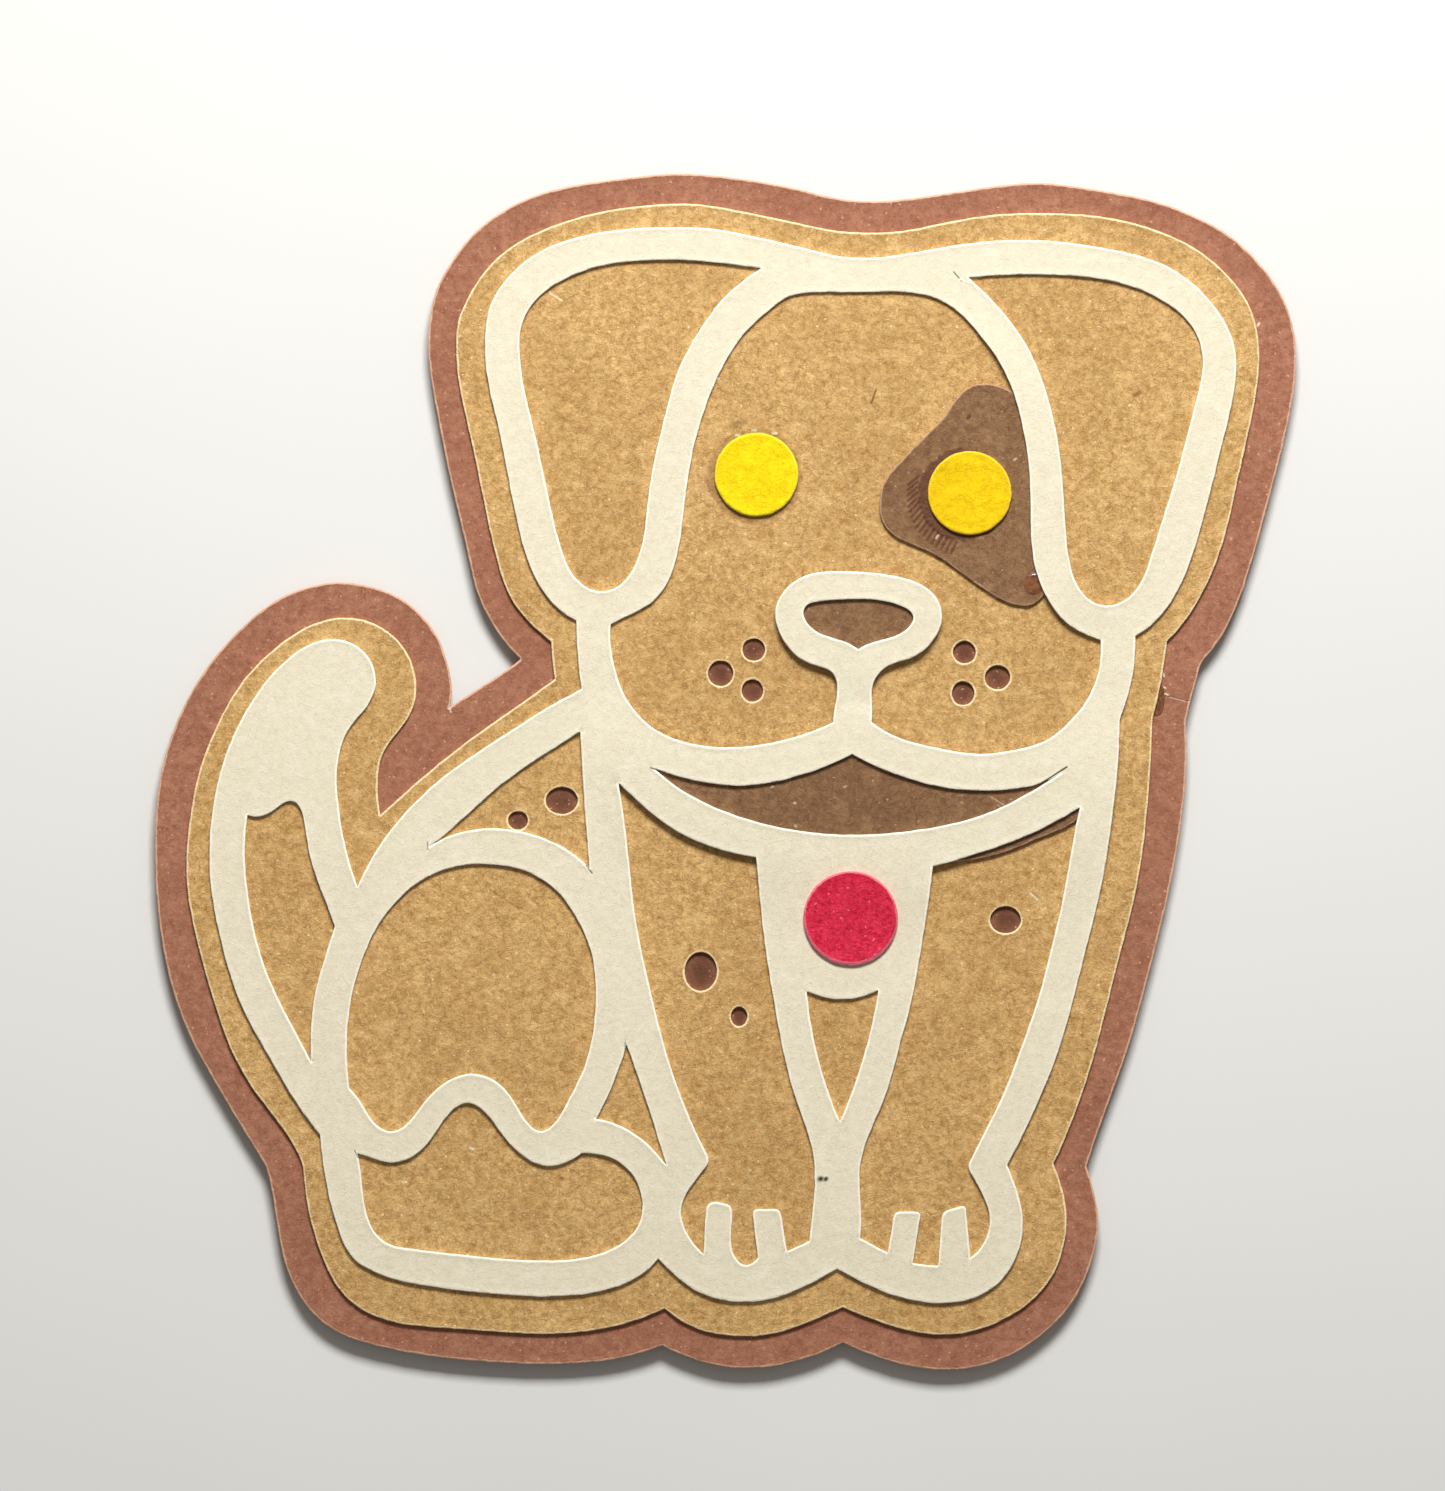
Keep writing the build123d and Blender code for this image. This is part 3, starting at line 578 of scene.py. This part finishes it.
def white_foam():
    """The open, finely pored foam of the pads."""
    paint = Paint("pad_foam_stock")
    pores = paint.noise(7.0, 2.0, 0.6)
    colour = paint.mix(paint.mapped(pores, 0.35, 0.6), linear(206, 206, 202), linear(242, 242, 238))
    return paint.finish(colour, paint.mapped(pores, 0.3, 0.7, 0.6, 0.9), paint.bump(pores, 0.12))


def dried_glue():
    """Glossy brown glue with streaks."""
    paint = Paint("dried_glue_film")
    streak = paint.noise(2.1, 3.0, 0.6, 0.8)
    colour = paint.mix(paint.mapped(streak, 0.35, 0.65), linear(98, 56, 34), linear(136, 88, 56))
    roughness = paint.mapped(streak, 0.3, 0.7, 0.12, 0.3)
    return paint.finish(colour, roughness, paint.bump(streak, 0.05), specular=0.6)


foam_paint = white_foam()
glue_paint = dried_glue()


# ------------------------------------------------------------------------------ the cards


def level(node):
    """The underside of a flat CAD card, in millimetres, as a height for any points."""
    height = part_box(node)[0].z / MM
    return lambda flat: np.full(len(flat), height)


coat_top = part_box("coat_card")[1].z / MM
filler_nodes = ("eye_patch_card", "nose_card", "mouth_card")
LIFT_REACH = 7.0  # how far from a brown card the cream card takes to come down to the coat


def lift(flat):
    """1 over a brown card, falling smoothly to 0 where the cream card lies on the coat."""
    highest = np.zeros(len(flat))
    for node in filler_nodes:
        away = np.clip(-outline_of(node).depth(flat) / LIFT_REACH, 0, 1)
        highest = np.maximum(highest, 1 - away * away * (3 - 2 * away))
    return highest


def outline_underside(flat):
    return coat_top + GLUE + (CARD + GLUE) * lift(flat)


def chest_dot_underside(flat):
    return outline_underside(flat) + CARD + GLUE


# Small marks, in millimetres on the card: (start, end, width, rise, tone).
COAT_MARKS = [
    ((11.0, 27.75), (11.35, 28.75), 0.12, -0.02, -0.8),  # a dark fibre on the forehead
    ((30.85, 28.3), (31.35, 28.5), 0.30, -0.05, -0.6),  # a dent in the right ear, darkened with painted shade
    ((-13.3, 36.05), (-12.4, 35.5), 0.14, -0.02, 0.7),  # a scrape in the left ear
    ((22.95, -9.3), (23.5, -9.8), 0.16, 0.02, 0.7),
    ((-19.3, -28.5), (-19.1, -28.6), 0.20, 0.02, 0.8),
    ((-24.4, -31.1), (-24.1, -31.1), 0.18, 0.02, 0.7),
    ((-12.5, -30.8), (-12.3, -30.8), 0.22, -0.02, -0.7),
    ((-17.8, -9.1), (-15.6, -10.5), 0.16, -0.03, -0.25),  # faint creases on the haunch, darkened with painted shade
    ((-17.4, -19.7), (-16.7, -20.3), 0.14, -0.03, -0.25),
    ((-0.75, 29.5), (-0.6, 29.6), 0.22, 0.02, 0.8),
    ((0.4, 26.0), (1.3, 26.3), 0.70, 0.0, -0.35),  # a brown smear of glue above the left eye
]
PATCH_MARKS = [
    ((15.85, 17.5), (16.0, 17.7), 0.16, 0.03, 1.0),
    ((18.25, 26.55), (18.4, 26.7), 0.22, -0.03, -0.8),
    ((21.75, 23.4), (21.9, 23.5), 0.18, 0.02, 0.7),
    # a short pale streak: a painted highlight on glue beside the cream's edge
    ((23.0, 14.0), (23.5, 13.75), 0.14, 0.04, 1.0),
]
# Three beads of dried glue stand along the top of the left eye, painted near-white as glints of light on
# them.
BEAD_REACH = EYE_RADIUS + 0.16
for degrees in (118, 95, 68):
    around = math.radians(degrees)
    bead = shifted(left_eye, BEAD_REACH * math.cos(around), BEAD_REACH * math.sin(around))
    COAT_MARKS.append((bead, shifted(bead, 0.25, 0.0), 0.24, 0.12, 1.0))
# A row of short slanted dents curves round the right eye, from its left to below it, each darkened with
# painted shade.
DENTS, DENT_LENGTH, DENT_SPREAD = 17, 0.95, EYE_RADIUS + 1.15
for number in range(DENTS):
    share = number / (DENTS - 1)
    around, slant = math.radians(168 + 86 * share), math.radians(38 + 26 * share)
    middle = shifted(right_eye, DENT_SPREAD * math.cos(around), DENT_SPREAD * math.sin(around))
    half = (DENT_LENGTH / 2 * math.cos(slant), DENT_LENGTH / 2 * math.sin(slant))
    ends = shifted(middle, -half[0], -half[1]), shifted(middle, *half)
    PATCH_MARKS.append((*ends, 0.19, -0.06, -0.6))
MOUTH_MARKS = [
    ((3.45, -1.3), (3.55, -1.25), 0.18, 0.02, 0.7),
    ((8.9, -1.3), (9.05, -1.25), 0.16, 0.02, 0.6),
    ((5.15, -2.5), (5.25, -2.5), 0.18, 0.02, 0.7),
    ((5.2, -4.2), (5.3, -4.25), 0.18, 0.02, 0.6),
    ((20.0, -2.0), (21.4, -2.9), 0.10, -0.03, 0.4),  # scratches
    ((20.5, -2.6), (21.1, -3.2), 0.10, -0.03, 0.4),
]
OUTLINE_MARKS = [
    ((17.2, 37.6), (17.8, 36.9), 0.09, -0.06, -0.8),  # cuts that ran past a corner, dark with painted shade inside them
    ((-5.7, 0.15), (-4.8, -0.15), 0.09, -0.06, -0.8),
    ((23.75, -1.05), (25.7, 0.2), 0.12, -0.10, -0.9),
    ((-10.55, -7.2), (-10.1, -7.8), 0.09, -0.06, -0.8),
    ((-22.5, -5.5), (-22.5, -6.0), 0.09, -0.06, -0.7),
    ((-7.6, -20.6), (-7.6, -21.1), 0.09, -0.06, -0.7),
    ((-28.0, -28.7), (-27.75, -29.25), 0.09, -0.06, -0.7),
    ((17.65, 37.05), (18.6, 36.7), 0.14, 0.03, 0.9),  # lifted nicks and tufts
    ((-6.2, 4.05), (-5.6, 3.5), 0.22, 0.05, 0.9),
    ((-2.6, 2.15), (-2.5, 2.05), 0.22, 0.05, 0.9),
    ((7.10, -30.85), (7.17, -30.81), 0.40, 0.04, -1.0),  # a speck of dirt in two grains
    ((7.50, -30.85), (7.56, -30.81), 0.34, 0.04, -1.0),
]
BACKING_MARKS = [
    ((33.4, 5.55), (34.8, 5.2), 0.10, -0.06, 0.35),  # a crack across the edge beside the cheek
    ((34.8, 5.2), (36.2, 5.15), 0.10, -0.06, 0.35),
    ((33.05, 7.25), (33.1, 7.05), 0.13, 0.08, 1.0),  # pale flecks along the coat's edge: painted highlights on the wet glue
    ((33.1, 6.25), (33.2, 6.15), 0.13, 0.08, 1.0),
    ((33.15, 5.75), (33.4, 5.65), 0.13, 0.08, 1.0),
    ((-20.85, 4.85), (-20.8, 4.4), 0.14, 0.02, 0.8),  # a torn nick in the notch
    ((-22.15, 27.7), (-22.0, 27.75), 0.20, 0.03, 0.8),
    ((40.2, 33.6), (40.3, 33.75), 0.20, 0.03, 0.8),
]
# Painted shade: the backing is darkened where a punched spot of the coat lets it show, as little light
# reaches into the spot.
for loop in sorted(outline_of("coat_card").loops, key=len)[:-1]:
    span = loop.max(axis=0) - loop.min(axis=0)
    middle = (loop.max(axis=0) + loop.min(axis=0)) / 2
    half = np.where(np.arange(2) == np.argmax(span), (span.max() - span.min()) / 2, 0.0)
    BACKING_MARKS.append((tuple(middle - half), tuple(middle + half), span.min() * 1.15, 0.0, -0.8))


def rippled(seed):
    """The soft embossing that the punch left in a dot."""
    return lambda flat: waviness(flat, seed, 1.4, 0.08) + waviness(flat, seed + 20, 0.6, 0.035)


def slanted_shoulder(flat):
    """A shoulder that is wide along the lower side of the red dot and narrow along its top."""
    return 0.16 + 0.22 * np.clip((chest[1] - flat[:, 1]) / CHEST_RADIUS, 0, 1)


make_card("backing", "backing_card", level("backing_card"), backing_paint,
          grid=0.9, seed=1, wave=(14.0, 0.015), marks=BACKING_MARKS)
make_card("coat", "coat_card", level("coat_card"), coat_paint,
          grid=0.7, seed=2, wave=(11.0, 0.012), marks=COAT_MARKS)
for number, (name, marks) in enumerate((("eye_patch", PATCH_MARKS), ("nose", ()), ("mouth", MOUTH_MARKS))):
    node = name + "_card"
    make_card(name, node, level(node), filler_paint,
              grid=0.5, seed=3 + number, wave=(7.0, 0.010), marks=marks)
make_card("outline", "outline_card", outline_underside, outline_paint,
          grid=0.6, seed=6, wave=(8.0, 0.012), marks=OUTLINE_MARKS)
for seed, side in ((7, "left"), (8, "right")):
    make_card(side + "_eye", side + "_eye_dot", level(side + "_eye_dot"), eye_paints[side],
              grid=0.2, seed=seed, width=0.16, drop=0.09, relief=rippled(seed))
make_card("chest", "chest_dot", chest_dot_underside, red_paint,
          grid=0.25, seed=9, width=slanted_shoulder, drop=0.12, wave=(3.0, 0.010))

# ------------------------------------------------------------------------------ glue and foam

DOME = ((1.0, 0.0), (0.97, 0.45), (0.86, 0.8), (0.62, 0.96), (0.3, 1.0))  # (share of radius, height)
GLUE_STEP = 0.3  # spacing of points round a drop
GLUE_WOBBLE = 0.12  # how uneven a drop's rim is, as a share of its radius


def lofted(first, count, rings):
    """Faces of a closed form whose rings of points lie one above another, from vertex first on."""
    bottom = first + np.arange(count)
    faces = []
    for ring in range(rings - 1):
        start = bottom + ring * count
        after = np.roll(start, -1)
        faces += list(zip(start, after, after + count, start + count))
    return faces + [tuple(bottom + (rings - 1) * count), tuple(bottom[::-1])]


def make_glue(name, node, seed, underside=None):
    """The node's glue dots as flattened drops that reach the card above them."""
    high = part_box(node)[1].z / MM
    verts, faces = [], []
    for loop in upper_outline(node):
        middle = loop.mean(axis=0)
        rim = evened(loop, GLUE_STEP)
        wobble = [noise.noise((x * 1.3, y * 1.3, seed * 5.1)) for x, y in rim]
        rim = middle + (rim - middle) * (1 + GLUE_WOBBLE * np.array(wobble))[:, None]
        first, count = len(verts), len(rim)
        for share, rise in DOME:
            ring = middle + (rim - middle) * share
            top = np.full(count, high) if underside is None else underside(ring)
            verts += list(np.column_stack([ring, top - GLUE * (1 - rise)]))
        faces += lofted(first, count, len(DOME))
    piece = make_piece(name, verts, faces, glue_paint)
    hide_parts(node)


make_glue("glue_under_coat", "coat_glue", seed=1)
make_glue("glue_under_outline", "outline_glue", seed=2, underside=outline_underside)
for number, above in enumerate(("eye_patch", "nose", "mouth", "left_eye", "right_eye")):
    make_glue("glue_under_" + above, above + "_glue", seed=3 + number)
make_glue("glue_under_chest_dot", "chest_dot_glue", seed=8, underside=chest_dot_underside)

# A pad's sides from bottom to top: (share of the height, inset).
PAD_WAIST = ((0.00, 0.05), (0.05, 0.0), (0.3, 0.06), (0.5, 0.09), (0.7, 0.06), (0.95, 0.0), (1.0, 0.05))
PAD_STEPS = 20  # points along each side of a pad
PAD_CORNER = 16  # the higher this power, the tighter a pad's corners
PAD_DRIFT = 0.05  # how uneven the cut foam is


def make_pads():
    """The foam pads: cut blocks with rounded corners, whose sides draw in a little half way up."""
    low, high = (corner.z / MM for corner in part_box("foam_pads"))
    walk, end = np.linspace(-1, 1, PAD_STEPS, endpoint=False), np.full(PAD_STEPS, 1.0)
    sides = ((walk, -end), (end, walk), (-walk, end), (-end, -walk))
    square = np.concatenate([np.column_stack(side) for side in sides])
    soft = square / ((np.abs(square) ** PAD_CORNER).sum(axis=1) ** (1 / PAD_CORNER))[:, None]
    verts, faces = [], []
    for loop in upper_outline("foam_pads"):
        middle = (loop.min(axis=0) + loop.max(axis=0)) / 2
        half = (loop.max(axis=0) - loop.min(axis=0)) / 2
        first, count = len(verts), len(soft)
        for share, inset in PAD_WAIST:
            drift = [noise.noise((*(middle + p * half), share * 3)) for p in soft]
            ring = middle + soft * (half - inset - PAD_DRIFT * (1 + np.array(drift)[:, None]))
            verts += list(np.column_stack([ring, np.full(count, low + share * (high - low))]))
        faces += lofted(first, count, len(PAD_WAIST))
    piece = make_piece("pads", verts, faces, foam_paint)
    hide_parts("foam_pads")


make_pads()

# ------------------------------------------------------------------------------ floor, light, camera

FLOOR_HALF = 3.0  # metres from its middle to its edge
FLOOR_GAP = 0.02 * MM  # just clear of the pads
floor_mesh = bpy.data.meshes.new("floor")
floor_mesh.from_pydata(
    [(FLOOR_HALF * x, FLOOR_HALF * y, 0) for x, y in ((-1, -1), (1, -1), (1, 1), (-1, 1))],
    [], [(0, 1, 2, 3)],
)
floor_paint = Paint("pale_floor")
floor_mesh.materials.append(
    floor_paint.finish(
        floor_paint.mix(floor_paint.noise(0.02, 2.0), linear(226, 226, 224), linear(232, 232, 230)), 0.9
    )
)
floor = bpy.data.objects.new("floor", floor_mesh)
floor.location.z = -FLOOR_GAP
bpy.context.scene.collection.objects.link(floor)

scene = bpy.context.scene
scene.view_settings.view_transform = "Standard"
scene.view_settings.look = "None"

world = bpy.data.worlds.new("soft_surround")
world.use_nodes = True
surround = world.node_tree.nodes["Background"]
surround.inputs["Color"].default_value = (1.0, 0.95, 0.88, 1.0)
surround.inputs["Strength"].default_value = 0.20
scene.world = world

# The lamp's place in metres: beside the middle, towards the ears and up.
LAMP_PLACE = Vector((0.022, 0.25, 0.2625))
lamp_data = bpy.data.lights.new("window_light", "AREA")
lamp_data.shape = "RECTANGLE"
lamp_data.size = 0.15
lamp_data.size_y = 0.10
lamp_data.energy = 1.66
lamp_data.color = (1.0, 0.99, 0.97)
lamp = bpy.data.objects.new("window_light", lamp_data)
lamp.location = LAMP_PLACE
lamp.rotation_euler = (-LAMP_PLACE).to_track_quat("-Z", "Y").to_euler()
scene.collection.objects.link(lamp)

VIEW_HEIGHT = 0.11253  # what the picture takes in from bottom to top, at the height of the cards
VIEW_MIDDLE = Vector((-0.00026, 0.00185, 0.0018))
CAMERA_AWAY = 0.70
SENSOR = 24  # millimetres
TILT = math.radians(1)  # the camera stands a little towards the feet
camera_data = bpy.data.cameras.new("camera")
camera_data.sensor_fit = "VERTICAL"
camera_data.sensor_height = SENSOR
camera_data.lens = SENSOR * CAMERA_AWAY / VIEW_HEIGHT
camera_data.clip_start = 0.01
camera = bpy.data.objects.new("camera", camera_data)
camera.location = VIEW_MIDDLE + CAMERA_AWAY * Vector((0, -math.sin(TILT), math.cos(TILT)))
camera.rotation_euler = (TILT, 0, 0)
scene.collection.objects.link(camera)
scene.camera = camera
